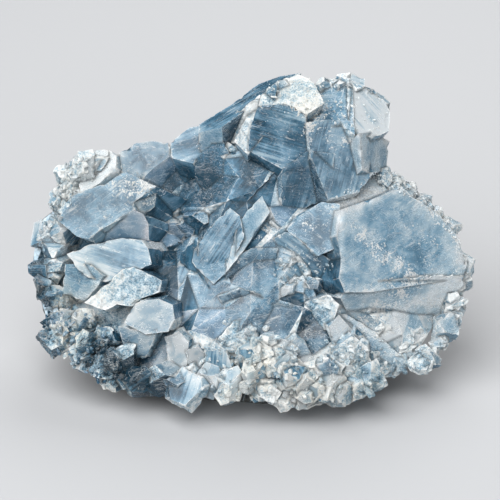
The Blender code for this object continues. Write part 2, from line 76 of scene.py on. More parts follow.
# Facets by the place where the view meets them: across, rise, finish, tone, angle of the growth lines. The
# low tones in the hollows and slots are partly the crystal's own dark teal and partly painted shade.
FACETS = (
    # crown
    (6.8, 67.2, "lined", 0.3, -12), (11.5, 77, "crushed", 0.8, 20), (21.5, 73.7, "hazy", 0.45, 80),
    (30, 72.2, "lined", 1.0, -58), (20.5, 60.7, "lined", 0.42, 80), (23, 61.7, "lined", 0.43, 75),
    (23.9, 55.8, "lined", 0.42, 75), (8.2, 53, "lined", 0.33, 75), (26.5, 62.5, "hazy", 0.76, 70),
    (33.8, 62.2, "hazy", 0.78, 60), (-3.2, 74.2, "lined", 0.4, 32), (-5, 68.5, "smooth", 0.25, 35),
    (-1, 72.5, "crushed", 0.95, 50), (-1.5, 67.5, "crushed", 0.9, 50),
    (-10.2, 66.2, "speckled", 0.62, 20), (-16, 64.2, "lined", 0.44, 20),
    # knob, hollow wall and the block in it
    (-10, 59.5, "speckled", 0.12, 60), (-7, 52, "speckled", 0.12, 60), (-10.7, 52.5, "speckled", 0.1, 60),
    (-16.5, 58.5, "deep", 0.22, 10), (-19.7, 54, "speckled", 0.2, 10),
    (-15.7, 53.5, "speckled", 0.15, 10), (-15, 55.5, "deep", 0.2, 10), (-16, 48, "speckled", 0.35, 10),
    (-16.5, 47, "grey", 0.35, 10), (-12, 46.5, "hazy", 0.45, 50), (-6.5, 58, "speckled", 0.16, 60),
    (-21, 51.2, "deep", 0.3, 10), (-14.5, 45, "deep", 0.14, 80), (-23, 47, "deep", 0.2, 10),
    (-20, 40.7, "grey", 0.55, 20), (-23.7, 42.2, "deep", 0.2, 10),
    # left shoulder and the crystals round it
    (-26.7, 61.5, "smooth", 0.52, 40), (-24, 56.2, "grey", 0.5, 40), (-21.5, 58.7, "grey", 0.5, 40),
    (-38, 57.7, "smooth", 1.0, 40), (-27, 53.5, "smooth", 0.62, 40), (-26.2, 49.7, "smooth", 0.6, 40),
    (-37.7, 49.2, "hazy", 0.38, 38), (-30.2, 43.7, "grey", 0.6, 30), (-34.7, 36.5, "lined", 0.7, -18),
    (-31.2, 28.5, "crushed", 0.72, -25), (-42.5, 30.2, "hazy", 0.5, -20),
    (-45.2, 25.5, "crushed", 0.7, 0), (-35.5, 21.2, "crushed", 0.68, 0), (-23.5, 36.7, "deep", 0.12, 60),
    (-15, 36.2, "deep", 0.2, 80), (-19.5, 31, "deep", 0.08, 80), (-15.5, 26.5, "deep", 0.15, 80),
    # middle prism, blade and the crystals below them
    (-8.2, 39.2, "lined", 0.46, 52), (-0.2, 44, "speckled", 0.72, 55), (-0.7, 57.2, "speckled", 0.16, 50),
    (2, 57.5, "speckled", 0.2, 50), (-2.5, 53.5, "deep", 0.28, 50), (-3.7, 59.7, "deep", 0.2, 50),
    (3.7, 59.7, "deep", 0.2, 50), (3.7, 52.7, "deep", 0.22, 60), (8, 47.2, "grey", 0.42, 60),
    (2.2, 40.7, "deep", 0.3, 50), (-0.7, 49.2, "deep", 0.24, 55), (16, 44, "hazy", 0.42, -30),
    (16.7, 54.5, "smooth", 0.3, 70), (13.2, 37.2, "lined", 0.45, -35), (0.5, 36, "hazy", 0.43, 50),
    (3.2, 32.2, "hazy", 0.43, 50), (4.5, 27.2, "hazy", 0.5, 50), (10, 32.5, "lined", 0.5, -30),
    (8, 34.7, "lined", 0.5, -30), (20.2, 33, "deep", 0.16, 80), (20.5, 29, "deep", 0.16, 80),
    (20.7, 38.2, "smooth", 0.55, 80), (-11.5, 28.2, "hazy", 0.42, 80), (-11.5, 21.7, "grey", 0.36, 80),
    (-8.7, 25.2, "smooth", 0.36, 80), (-9.5, 19.2, "grey", 0.45, 80), (-1.5, 31.2, "hazy", 0.36, 60),
    (-3.7, 27, "smooth", 0.26, 60), (-2.2, 24.7, "smooth", 0.26, 60), (2.2, 26.7, "smooth", 0.28, 60),
    (4.5, 26.2, "hazy", 0.32, 60), (0, 21.7, "smooth", 0.3, 60),
    # small facets in the hollows, slots and lumps
    (-19.5, 33.5, "deep", 0.15, 60), (-20.5, 36, "deep", 0.12, 60), (-23.5, 31.5, "deep", 0.2, 60),
    (-14, 20, "deep", 0.16, 80), (-14.5, 22, "grey", 0.5, 80), (-17.5, 23, "grey", 0.24, 80),
    (-18, 27.5, "grey", 0.35, 80), (-20, 25.5, "deep", 0.2, 80), (-2.5, 51, "deep", 0.22, 50),
    (-1.5, 49.5, "deep", 0.22, 50), (-1, 48, "deep", 0.25, 50), (-4.8, 58, "deep", 0.25, 50),
    (15, 14.2, "smooth", 0.4, 80), (14, 13.8, "smooth", 0.45, 80), (-26.8, 8, "grey", 0.3, 0),
    (-29.8, 9.5, "grey", 0.3, 0), (-33.8, 9.5, "crushed", 0.5, 0), (-32.8, 9, "grey", 0.4, 0),
    (-28.2, 10, "grey", 0.3, 0), (-26.8, 10, "grey", 0.4, 0), (-38.2, 56, "hazy", 0.88, 40),
    (-40.8, 58.5, "hazy", 0.85, 40), (-39.2, 62, "crushed", 0.8, 40), (-43.2, 58.5, "crushed", 0.8, 40),
    (-41.2, 56, "hazy", 0.8, 40), (-38.8, 62, "hazy", 0.85, 40), (-17.5, 32, "lined", 0.5, 80),
    (-17, 28, "hazy", 0.55, 80), (-38.5, 41, "lined", 0.5, 30), (-43.5, 41, "lined", 0.4, 30),
    (-47.5, 56.5, "crushed", 0.95, 0), (-24.8, 44.5, "deep", 0.2, 10), (-19.2, 43, "grey", 0.3, 10),
    (-16.8, 43.5, "grey", 0.25, 10), (-19.8, 48, "deep", 0.16, 10),
    # great face, the slots under it and the right low crystals
    (36, 39.7, "hazy", 0.6, 30), (29.2, 52.5, "hazy", 1.0, 20), (22.8, 49.5, "hazy", 1.0, 20),
    (26, 51.5, "hazy", 1.0, 20), (38.2, 26.7, "hazy", 0.78, 10), (18, 23.2, "crushed", 0.62, 30),
    (13.5, 20.7, "smooth", 0.28, 80), (16, 17.7, "smooth", 0.28, 80), (11, 26, "deep", 0.04, 30),
    (9.5, 21.5, "hazy", 0.34, 60), (22.5, 18.2, "hazy", 0.82, 40), (32.7, 21.2, "crushed", 0.8, 30),
    (35.5, 19.5, "hazy", 0.85, 30), (37.7, 20.7, "hazy", 0.85, 30), (32, 14, "hazy", 0.7, 30),
    (26.2, 10.5, "crushed", 0.8, 30), (41, 19.2, "hazy", 0.62, 60), (48.2, 20.2, "hazy", 0.6, 50),
    (39.7, 15.5, "hazy", 0.66, 50), (32.2, 9, "crushed", 0.62, 0),
    # pebble, lens crystals and striped prisms at the lower left and the bottom
    (-24.7, 22, "smooth", 0.72, 20), (-28.2, 15.2, "smooth", 0.7, 20), (-18.5, 13, "smooth", 0.85, 70),
    (-13.7, 10.5, "smooth", 0.82, 70), (-3.2, 16.5, "crushed", 0.62, 20), (1.2, 21.5, "hazy", 0.38, 20),
    (5.8, 19.5, "hazy", 0.38, 20), (-1.8, 21.5, "hazy", 0.42, 20), (-14.5, 3.5, "lined", 0.5, 80),
    (-12, 6, "lined", 0.5, 80), (-10.5, 8, "lined", 0.6, 80), (-8.5, 11.2, "lined", 0.6, 80),
    (-5, 7, "lined", 0.6, 80), (-1.5, 11.7, "deep", 0.2, 80), (7.7, -0.7, "crushed", 0.8, 0),
    (-2.5, 0.2, "crushed", 0.75, 0), (-21.5, 1.7, "grey", 0.35, 0), (-27.7, 2, "grey", 0.4, 0),
    (-31.2, 3.2, "grey", 0.36, 0),
)

# Where specks and white flecks gather: across, rise, long radius, short radius, angle, strength
FROST_PATCHES = (
    (32, 38, 16, 3.6, -38, 1.0), (46, 40, 13, 5, 68, 0.55), (40, 45, 14, 2.2, 28, 0.5),
    (24, 33, 4, 3, 0, 0.4), (37, 29, 14, 3.0, 8, 0.7), (33, 24, 9, 2.6, 28, 1.0), (42, 25, 10, 3, 5, 0.6),
    (-29, 54, 10, 2.4, -10, 1.0), (-34, 49, 14, 5, 38, 0.5), (-24, 51, 5, 1.4, 35, 0.9),
    (18.5, 66, 8, 3, -20, 0.9), (21, 60, 4, 3, 0, 0.5), (16, 45, 6, 4, 40, 0.6),
    (27, 51, 9, 2.4, 20, 1.0), (15.5, 73, 6, 5.5, 0, 1.0), (5, 43, 6, 3, 55, 0.7),
    (6, 41, 2.6, 1.4, 0, 0.9), (43, 54, 10, 2.4, -42, 0.8), (1, 35, 7, 3, 50, 0.4),
    (52, 36, 8, 2, 80, 0.7), (31, 19, 6, 4, 10, 0.8), (45, 19, 10, 5, 50, 0.6), (-38, 60, 6, 2, 40, 0.5),
)

# Where the crust is stained cream: across, rise, radius, strength
CREAM_PATCHES = (
    (-48, 27, 8, 0.8), (-43, 17, 9, 0.9), (2, 10, 8, 0.75), (14, 3, 10, 0.6), (12, 75, 10, 0.5),
    (-40, 33, 10, 0.6), (-38, 49, 16, 0.45), (-26, 22, 6, 0.35), (28, 4, 9, 0.6), (-30, 5, 9, 0.7),
    (-3, 2, 6, 0.8),
)

# Where the crystals are darker or lighter, partly their own tone and partly painted shade in notches, gaps
# and the hollow and painted light on lighter patches: across, rise, long radius, short radius, angle,
# change of tone
SHADE_PATCHES = (
    (-36, 12, 11, 7.5, -35, -0.7), (-25, 5, 12, 5, 0, -0.6), (-30, 8.5, 7, 4, 0, -0.5),
    (-20, 30, 6, 10, 0, -0.3), (14, 3, 12, 4, 10, 0.18), (28, 5, 8, 3, 15, 0.06),
    (12, 66, 5, 5, 0, -0.08), (-15, 54, 10, 9, 0, -0.05), (0, 52, 6, 8, 60, -0.06),
    (24, 46, 6, 12, 0, 0.1), (51, 38, 9, 18, 0, 0.27), (43, 20, 12, 8, 0, 0.12),
    (6.5, 7, 2.2, 1.4, -30, -0.8), (28, 7.5, 4.5, 2, -25, -0.6), (31, 3, 6, 1.2, -5, -0.35),
    (36, 38, 10, 4, 25, -0.12), (-16, 11, 7, 7, 0, 0.18), (5, 34, 5, 5, 0, -0.1),
    (-54.5, 26, 6.5, 17, 0, -0.8), (-50, 12, 5, 9, 30, -0.5), (8, 66, 7, 8, 20, 0.1),
    (15, 73, 5, 5, 0, 0.28), (36, 18, 14, 6, 5, 0.04), (7, 9, 13, 6, 0, 0.18),
)

# Facets that the table doesn't name are mostly sugary below this rise, and often so if this small
SUGAR_LEVEL = 26.0
SMALL_FACET = 12 * MM * MM
# Facets that meet at more than this angle have a sharp edge or a seam between them
CREASE = math.radians(8)
# Longest edges of the two big pieces after their cutting
CRYSTAL_EDGE = 1.15 * MM
RIND_EDGE = 1.7 * MM
# A face this near the other node is hidden by it and stays as it is in the CAD
COVERED_GAP = 1.6 * MM
# In mm: the gap of a facet without such an edge or seam, and how wide and how deep chips go
FAR = 99.0
CHIP_REACH = 1.1
DEEPEST_CHIP = 0.7
# Broad changes of tone over the crystals: how strong, and how big
BROAD_CHANGE = 0.22
BROAD_SIZE = 9 * MM
# How much the tone fades across one facet, from least to most
FADE = (0.1, 0.26)
# The rind below this height is its flat base
FLAT_BASE = 0.4 * MM


def any_way(dice):
    """A vector with random parts between -1 and 1."""
    return Vector((dice.uniform(-1, 1), dice.uniform(-1, 1), dice.uniform(-1, 1)))


def seen_at(tree, across, rise):
    """Where the eye's line through a place in the view first meets a shape, as ray_cast gives it."""
    return tree.ray_cast(EYE, (on_plane(across, rise, VIEW_MIDDLE[2]) - EYE).normalized())


def fall_off(across, rise, patch):
    """How strong an oval patch is at a place: 1 in its middle, 0 beyond its edge."""
    turn = math.radians(patch[4])
    over, up = across - patch[0], rise - patch[1]
    along = (over * math.cos(turn) + up * math.sin(turn)) / patch[2]
    beside = (up * math.cos(turn) - over * math.sin(turn)) / patch[3]
    return patch[5] * max(0.0, 1.0 - along * along - beside * beside)


def frost_at(across, rise):
    """How thickly the white flecks lie at a place, 0 to 1."""
    return min(1.0, sum(fall_off(across, rise, patch) for patch in FROST_PATCHES))


def cream_at(across, rise):
    """How strongly the crust is stained cream at a place, 0 to 1."""
    return max(fall_off(across, rise, (a, r, size, size, 0, much)) for a, r, size, much in CREAM_PATCHES)


def shade_at(across, rise):
    """Change of tone at a place, partly painted shade and painted light."""
    return sum(fall_off(across, rise, patch) for patch in SHADE_PATCHES)


def load_merged(node):
    """A copy of a CAD node's mesh with its triangles joined to each other."""
    mesh = bmesh.new()
    mesh.from_mesh(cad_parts[node].data)
    bmesh.ops.remove_doubles(mesh, verts=mesh.verts, dist=0.001 * MM)
    return mesh


def default_look(facet, dice):
    """Finish and tone of a facet that the table doesn't name, from where it lies and how it faces: painted
    light on facets that face up and painted shade on facets turned from the view.
    """
    rise = plane_place(facet.calc_center_median())[1]
    towards = -facet.normal.dot(INWARD)
    chance = dice.random()
    # Painted light: facets that face up are lighter; painted shade: facets turned from the view are darker
    tone = 0.55 + 0.2 * dice.uniform(-1, 1) + 0.12 * facet.normal.z
    if towards < 0.35:
        tone -= 0.12
    if rise < SUGAR_LEVEL:
        tone += 0.06
        if chance < 0.5:
            return "crushed", tone + 0.08
        if chance < 0.72:
            return "smooth", tone
        if chance < 0.86:
            return "lined", tone
        return ("deep", 0.3) if chance < 0.93 else ("hazy", tone)
    if facet.calc_area() < SMALL_FACET and chance < 0.4:
        return "crushed", tone + 0.1
    if chance < 0.65:
        return "hazy", tone
    return ("lined", tone) if chance < 0.85 else ("smooth", tone - 0.1)


def growth_direction(facet, angle):
    """Direction of the growth lines on a facet: from its angle in the view, or along its longest edge."""
    if angle is None:
        longest = max(facet.edges, key=lambda edge: edge.calc_length())
        return (longest.verts[1].co - longest.verts[0].co).normalized()
    turn = math.radians(angle)
    seen = RIGHT * math.cos(turn) + UPWARD * math.sin(turn)
    return (seen - facet.normal * seen.dot(facet.normal)).normalized()


def split_long_edges(mesh, wanted, limit):
    """Cuts long edges in half, at most eight times, until the wanted faces have only short edges."""
    for _ in range(8):
        long_edges = [edge for edge in mesh.edges
                      if edge.calc_length() > limit and any(wanted(face) for face in edge.link_faces)]
        if not long_edges:
            break
        bmesh.ops.subdivide_edges(mesh, edges=long_edges, cuts=1)
        bmesh.ops.triangulate(mesh, faces=[face for face in mesh.faces if len(face.verts) > 3])


def gap_to_lines(points, lines):
    """Smallest distance in mm from each point to a set of straight edges."""
    if not len(lines):
        return np.full(len(points), FAR)
    start, run = lines[:, 0], lines[:, 1] - lines[:, 0]
    square = np.maximum((run * run).sum(1), 1e-18)
    offset = points[:, None] - start[None]
    part = np.clip((offset * run[None]).sum(2) / square[None], 0, 1)
    return np.sqrt(((offset - part[..., None] * run[None]) ** 2).sum(2)).min(1) / MM


def ridged(point, size):
    """Sharp-crested noise from 0 to 1, with features about as big as size in mm."""
    return 1.0 - abs(noise.noise(point / (size * MM)))


def relief(finish, point, frost):
    """How far in mm a finish stands out from its flat facet."""
    if finish == "crushed":
        return 1.1 * (ridged(point, 2.2) - 0.75) + 0.5 * (ridged(point + Vector((0.1, 0, 0)), 0.9) - 0.75)
    if finish == "speckled":
        return 0.14 * (ridged(point, 1.2) - 0.7)
    if finish == "deep":
        return 0.05 * noise.noise(point / (2.5 * MM))
    if finish == "hazy":
        return 0.10 * noise.noise(point / (4.0 * MM)) + (0.1 + frost * 0.4) * (ridged(point, 1.5) - 0.78)
    return 0.08 * noise.noise(point / (3.5 * MM)) + 0.08 * (ridged(point, 2.4) - 0.8)


def chip(point, gap):
    """How deep in mm a worn edge is chipped, from the distance to the edge in mm."""
    near = max(0.0, 1.0 - gap / CHIP_REACH)
    bite = max(0.0, noise.noise(point / (1.9 * MM)) * 1.5 - 0.12)
    return near * min(DEEPEST_CHIP, bite)


def edge_lines(edges):
    """The two ends of each edge, as rows for gap_to_lines."""
    return np.array([[vert.co[:] for vert in edge.verts] for edge in edges]).reshape(-1, 2, 3)


def build_celestine(covered_by):
    """The crystals' piece: every flat facet gets a finish, growth lines, worn edges and fine relief."""
    mass = load_merged("celestite_crystals")
    bmesh.ops.dissolve_limit(mass, angle_limit=math.radians(1), use_dissolve_boundaries=False,
                             verts=mass.verts, edges=mass.edges)
    mass.faces.ensure_lookup_table()
    mass.normal_update()
    tree = BVHTree.FromBMesh(mass)
    named = {}
    for across, rise, finish, tone, angle in FACETS:
        facet = seen_at(tree, across, rise)[2]
        if facet is not None:
            named.setdefault(facet, (finish, tone, angle))
    dice = random.Random(5)
    number = mass.faces.layers.int.new("facet")
    looks, growths, normals, rims, seams, hidden, fades = [], [], [], [], [], [], []
    for index, facet in enumerate(mass.faces):
        finish, tone = default_look(facet, dice)
        angle = None
        if index in named:
            finish, tone, angle = named[index]
        facet[number] = index
        facet.material_index = FINISHES.index(finish)
        looks.append((finish, tone))
        growths.append(growth_direction(facet, angle))
        normals.append(facet.normal.copy())
        middle = facet.calc_center_median()
        reach = max((vert.co - middle).length for vert in facet.verts)
        heading = any_way(dice).normalized()
        fades.append((middle, heading * dice.uniform(*FADE) / reach))
        near = covered_by.find_nearest(middle)
        hidden.append(near[3] < COVERED_GAP and facet.normal.dot(INWARD) > 0)
        creases = [edge for edge in facet.edges if edge.is_manifold and edge.calc_face_angle() > CREASE]
        rims.append(edge_lines([edge for edge in creases if edge.is_convex]))
        seams.append(edge_lines([edge for edge in creases if not edge.is_convex]))
    bmesh.ops.triangulate(mass, faces=mass.faces)
    split_long_edges(mass, lambda face: not hidden[face[number]], CRYSTAL_EDGE)
    mass.verts.index_update()
    mass.normal_update()

    # Distances to the sharp edges, which get chips, white wear and a painted edge highlight, and to the
    # seams
    members = {}
    for face in mass.faces:
        members.setdefault(face[number], set()).update(face.verts)
    rim_gap = np.full(len(mass.verts), FAR)
    seam_gap = np.full(len(mass.verts), FAR)
    for index, verts in members.items():
        verts = sorted(verts, key=lambda vert: vert.index)
        places = np.array([vert.co[:] for vert in verts])
        numbers = [vert.index for vert in verts]
        rim_gap[numbers] = np.minimum(rim_gap[numbers], gap_to_lines(places, rims[index]))
        seam_gap[numbers] = np.minimum(seam_gap[numbers], gap_to_lines(places, seams[index]))

    # What the materials read: growth lines and tone at the corners, the rest at the points
    rim_layer = mass.verts.layers.float.new("rim")
    seam_layer = mass.verts.layers.float.new("seam")
    frost_layer = mass.verts.layers.float.new("frost")
    cream_layer = mass.verts.layers.float.new("cream")
    uv = mass.loops.layers.uv.new("growth")
    tone_layer = mass.loops.layers.float.new("tone")
    for face in mass.faces:
        index = face[number]
        finish, tone = looks[index]
        growth, normal = growths[index], normals[index]
        beside = normal.cross(growth)
        face.smooth = finish != "crushed"
        shift = index * 7.3 % 50
        for loop in face.loops:
            place = loop.vert.co / MM
            loop[uv].uv = (place.dot(growth) + shift, place.dot(beside) + shift)
            start, fade = fades[index]
            across, rise, _ = plane_place(loop.vert.co)
            # The tone takes the shade patches' painted shade and painted light on top of its broad random
            # change
            broad = BROAD_CHANGE * noise.noise(loop.vert.co / BROAD_SIZE) + shade_at(across, rise)
            loop[tone_layer] = tone + (loop.vert.co - start).dot(fade) + broad
    for edge in mass.edges:
        if edge.is_manifold and edge.link_faces[0][number] != edge.link_faces[1][number]:
            edge.smooth = edge.calc_face_angle() < CREASE

    # Relief and chipped edges
    moves = []
    for vert in mass.verts:
        across, rise, _ = plane_place(vert.co)
        frost = frost_at(across, rise)
        vert[rim_layer] = rim_gap[vert.index]
        vert[seam_layer] = seam_gap[vert.index]
        vert[frost_layer] = frost
        vert[cream_layer] = cream_at(across, rise)
        around = {face[number] for face in vert.link_faces}
        if any(hidden[index] for index in around):
            moves.append(Vector())
            continue
        heights = [relief(looks[index][0], vert.co, frost) for index in around]
        much = sum(heights) / len(heights) * (1.0 if len(heights) == 1 else 0.6)
        much -= chip(vert.co, rim_gap[vert.index])
        moves.append(vert.normal * much * MM)
    for vert, move in zip(mass.verts, moves):
        vert.co += move
    return mass, tree


def make_piece(name, mesh, materials):
    """Turns a bmesh into an object at the frame's origin with its materials."""
    data = bpy.data.meshes.new(name)
    mesh.to_mesh(data)
    mesh.free()
    for material in materials:
        data.materials.append(material)
    piece = bpy.data.objects.new(name, data)
    bpy.context.scene.collection.objects.link(piece)
    return piece


# Node helpers
def add_node(tree, kind, settings=None, values=None):
    """Adds a node, sets its settings, and fills its inputs by name with values or links."""
    node = tree.nodes.new(kind)
    for name, value in (settings or {}).items():
        setattr(node, name, value)
    for name, value in (values or {}).items():
        feed(tree, node.inputs[name], value)
    return node


def feed(tree, socket, value):
    """Links a socket to another one, or sets its plain value."""
    if isinstance(value, bpy.types.NodeSocket):
        tree.links.new(value, socket)
    else:
        socket.default_value = value


def calc(tree, operation, *values, clamp=False):
    """One step of arithmetic on links and plain values."""
    node = add_node(tree, "ShaderNodeMath", {"operation": operation, "use_clamp": clamp})
    for socket, value in zip(node.inputs, values):
        feed(tree, socket, value)
    return node.outputs[0]


def mix(tree, factor, first, second, blend="MIX"):
    """Mixes two colours."""
    node = add_node(tree, "ShaderNodeMix", {"data_type": "RGBA", "blend_type": blend})
    for place, value in ((0, factor), (6, first), (7, second)):
        feed(tree, node.inputs[place], value)
    return node.outputs[2]


def ramp(tree, value, low, high, start=0.0, end=1.0):
    """Maps a value from low..high to start..end with soft ends."""
    node = add_node(tree, "ShaderNodeMapRange", {"interpolation_type": "SMOOTHSTEP"},
                    {"Value": value, "From Min": low, "From Max": high, "To Min": start, "To Max": end})
    return node.outputs["Result"]


def cloud(tree, place, size, detail=3.0, rough=0.5, twist=0.0):
    """Noise whose features are about as big as size, in the units of place."""
    node = add_node(tree, "ShaderNodeTexNoise", None, {
        "Vector": place, "Scale": 1.0 / size, "Detail": detail, "Roughness": rough, "Distortion": twist})
    return node.outputs["Fac"]


def stretched(tree, place, scale, turn):
    """A pattern's place, turned and squeezed."""
    node = add_node(tree, "ShaderNodeMapping", None, {"Vector": place, "Scale": scale, "Rotation": turn})
    return node.outputs["Vector"]


def new_group(name, inputs, outputs):
    """A shader node group with its sockets; gives the tree, its input sockets and its output node."""
    tree = bpy.data.node_groups.new(name, "ShaderNodeTree")
    for label, kind, value in inputs:
        socket = tree.interface.new_socket(name=label, in_out="INPUT", socket_type=kind)
        if value is not None:
            socket.default_value = value
    for label, kind in outputs:
        tree.interface.new_socket(name=label, in_out="OUTPUT", socket_type=kind)
    return tree, tree.nodes.new("NodeGroupInput").outputs, tree.nodes.new("NodeGroupOutput").inputs


def in_mm(tree):
    """The object's own coordinates in mm."""
    place = add_node(tree, "ShaderNodeVectorMath", {"operation": "SCALE"})
    feed(tree, place.inputs[0], tree.nodes.new("ShaderNodeTexCoord").outputs["Object"])
    place.inputs["Scale"].default_value = 1 / MM
    return place.outputs[0]


def new_material(name):
    """A material with an empty node tree."""
    material = bpy.data.materials.new(name)
    material.use_nodes = True
    material.node_tree.nodes.clear()
    return material, material.node_tree


def use_group(tree, name, values):
    """Places a shared node group, built when it is first used, and gives its outputs."""
    if name not in GROUPS:
        GROUPS[name] = BUILDERS[name]()
    return add_node(tree, "ShaderNodeGroup", {"node_tree": GROUPS[name]}, values).outputs


def nearness(tree, gap, reach):
    """1 at an edge, falling to 0 where the gap to it is as big as reach."""
    return calc(tree, "SUBTRACT", 1.0, calc(tree, "DIVIDE", gap, reach), clamp=True)


def bumped(tree, height, strength, distance):
    """The surface's direction, tilted by a height."""
    return add_node(tree, "ShaderNodeBump", None, {
        "Height": height, "Strength": strength, "Distance": distance}).outputs[0]


NUMBER, VECTOR = "NodeSocketFloat", "NodeSocketVector"


def growth_lines_group():
    """Fine parallel growth lines that run along the first coordinate, as a mask and a height."""
    tree, given, out = new_group("Growth lines", [("Growth", VECTOR, None), ("Pitch", NUMBER, 0.6),
                                                  ("Length", NUMBER, 14.0)],
                                 [("Lines", NUMBER), ("Height", NUMBER)])
    wide = add_node(tree, "ShaderNodeCombineXYZ", None, {
        "X": calc(tree, "DIVIDE", 1.0, given["Length"]), "Y": calc(tree, "DIVIDE", 1.0, given["Pitch"])})
    scaled = add_node(tree, "ShaderNodeVectorMath", {"operation": "MULTIPLY"})
    feed(tree, scaled.inputs[0], given["Growth"])
    feed(tree, scaled.inputs[1], wide.outputs[0])
    fine = cloud(tree, scaled.outputs[0], 1.0, 3.0, 0.6)
    broad = cloud(tree, scaled.outputs[0], 3.6, 2.0, 0.5)
    both = calc(tree, "ADD", calc(tree, "MULTIPLY", fine, 0.65), calc(tree, "MULTIPLY", broad, 0.35))
    tree.links.new(ramp(tree, both, 0.38, 0.62), out["Lines"])
    tree.links.new(calc(tree, "ADD", calc(tree, "MULTIPLY", fine, 0.5), broad), out["Height"])
    return tree


def specks_group():
    """Bright frosted specks that thicken where the frost input rises, in swarms, as a mask."""
    tree, given, out = new_group("Frost specks", [("Place", VECTOR, None), ("Frost", NUMBER, 0.0),
                                                  ("Size", NUMBER, 0.5), ("Gather", NUMBER, 0.7)],
                                 [("Specks", NUMBER)])
    node = add_node(tree, "ShaderNodeTexNoise", None, {
        "Vector": given["Place"], "Scale": calc(tree, "DIVIDE", 1.0, given["Size"]), "Detail": 2.5,
        "Roughness": 0.65})
    fleck = node.outputs["Fac"]
    swarm = cloud(tree, given["Place"], 2.6, 3.0, 0.6)
    level = calc(tree, "SUBTRACT", 0.78, calc(tree, "MULTIPLY", given["Frost"], 0.24))
    swarming = calc(tree, "MULTIPLY", calc(tree, "SUBTRACT", swarm, 0.5), given["Gather"])
    level = calc(tree, "SUBTRACT", level, swarming)
    over = calc(tree, "DIVIDE", calc(tree, "SUBTRACT", fleck, level), 0.06, clamp=True)
    tree.links.new(over, out["Specks"])
    return tree


def veils_group():
    """Cloudy inner veils and thin bright healed cracks, as two masks."""
    tree, given, out = new_group("Inner veils", [("Place", VECTOR, None), ("Size", NUMBER, 5.0)],
                                 [("Clouds", NUMBER), ("Cracks", NUMBER)])
    scaled = add_node(tree, "ShaderNodeVectorMath", {"operation": "SCALE"})
    feed(tree, scaled.inputs[0], given["Place"])
    feed(tree, scaled.inputs["Scale"], calc(tree, "DIVIDE", 1.0, given["Size"]))
    soft = cloud(tree, scaled.outputs[0], 1.0, 4.0, 0.55, 0.6)
    tree.links.new(ramp(tree, soft, 0.36, 0.68), out["Clouds"])
    bent = stretched(tree, scaled.outputs[0], (0.8, 1.3, 2.0), (0.5, 0.4, 0.6))
    cracks = 0.0
    for size, sharp, strength in ((0.75, 34.0, 1.0), (0.32, 24.0, 0.75)):
        vein = cloud(tree, bent, size, 2.0, 0.5, 1.4)
        from_crest = calc(tree, "ABSOLUTE", calc(tree, "SUBTRACT", vein, 0.5))
        crest = calc(tree, "SUBTRACT", strength, calc(tree, "MULTIPLY", from_crest, sharp), clamp=True)
        gate = ramp(tree, cloud(tree, scaled.outputs[0], size * 1.3, 2.0), 0.40, 0.52)
        cracks = calc(tree, "MAXIMUM", cracks, calc(tree, "MULTIPLY", crest, gate))
    tree.links.new(cracks, out["Cracks"])
    return tree


def edge_wear_and_highlight_group():
    """White along sharp edges, partly wear and partly a painted edge highlight, broken up, from the
    distance to the edge in mm.
    """
    tree, given, out = new_group("Edge wear and highlight", [("Gap", NUMBER, 9.0), ("Place", VECTOR, None),
                                               ("Width", NUMBER, 0.3)], [("Wear and highlight", NUMBER)])
    uneven = cloud(tree, given["Place"], 2.4, 4.0, 0.7)
    reach = calc(tree, "MULTIPLY", given["Width"], ramp(tree, uneven, 0.44, 0.7, 0.05, 3.0))
    tree.links.new(calc(tree, "POWER", nearness(tree, given["Gap"], reach), 0.6), out["Wear and highlight"])
    return tree


def grain_group():
    """Packed grains: a random value for each grain, dark gaps between grains, and a height."""
    tree, given, out = new_group("Rock grain", [("Place", VECTOR, None), ("Size", NUMBER, 0.8)],
                                 [("Grain", NUMBER), ("Gaps", NUMBER), ("Height", NUMBER)])
    cells = add_node(tree, "ShaderNodeTexVoronoi", {"feature": "F1"}, {
        "Vector": given["Place"], "Scale": calc(tree, "DIVIDE", 1.0, given["Size"]), "Randomness": 1.0})
    split = add_node(tree, "ShaderNodeSeparateColor", None, {"Color": cells.outputs["Color"]})
    tree.links.new(split.outputs[0], out["Grain"])
    tree.links.new(ramp(tree, cells.outputs["Distance"], 0.45, 0.85), out["Gaps"])
    tree.links.new(calc(tree, "SUBTRACT", 1.0, cells.outputs["Distance"]), out["Height"])
    return tree


BUILDERS = {"lines": growth_lines_group, "specks": specks_group, "veils": veils_group, "wear_and_highlight": edge_wear_and_highlight_group,
            "grain": grain_group}
GROUPS = {}


# Colours of the crystal's body by tone: deep teal, slate blue, two paler blues and near white
BODY_TONES = ((0.0, (0.010, 0.046, 0.078)), (0.3, (0.057, 0.160, 0.250)), (0.55, (0.21, 0.385, 0.52)),
              (0.8, (0.515, 0.655, 0.735)), (1.0, (0.80, 0.86, 0.89)))
WHITE = (0.90, 0.91, 0.895, 1)
CREAM = (0.80, 0.74, 0.62, 1)
# Colour of the painted shade in the seams between crystals
PAINTED_SEAM_SHADE = (0.03, 0.05, 0.06, 1)
SOAKED = (0.55, 0.80, 0.92, 1)

# Pattern of the crystals in mm: grain, a painted glow at thin rims, frosted rims, painted shade along seams
# and fine scratches
FINE_GRAIN = 0.42
# Reach of the painted glow where the crystal thins to its rim
THIN_RIM = 3.2
FROSTED_RIM = 2.6
SEAM_SHADE_REACH = 0.6
HAIR_PITCH = 0.26
HAIR_LENGTH = 3.2
# The white of the edges, partly wear and partly painted highlight, and the frost weaken on crystals whose
# tone times this is under 1
EXPOSURE = 2.2
CRYSTAL_BUMP = 0.25 * MM
ROCK_BUMP = 0.3 * MM
CELESTINE_IOR = 1.62
ROCK_IOR = 1.5


def tone_colours(tree, value, stops):
    """Colours along a value, from pairs of a place and a colour."""
    node = tree.nodes.new("ShaderNodeValToRGB")
    feed(tree, node.inputs[0], value)
    marks = node.color_ramp.elements
    while len(marks) < len(stops):
        marks.new(0.5)
    for mark, (place, colour) in zip(marks, stops):
        mark.position = place
        mark.color = (*colour, 1)
    return node.outputs[0]


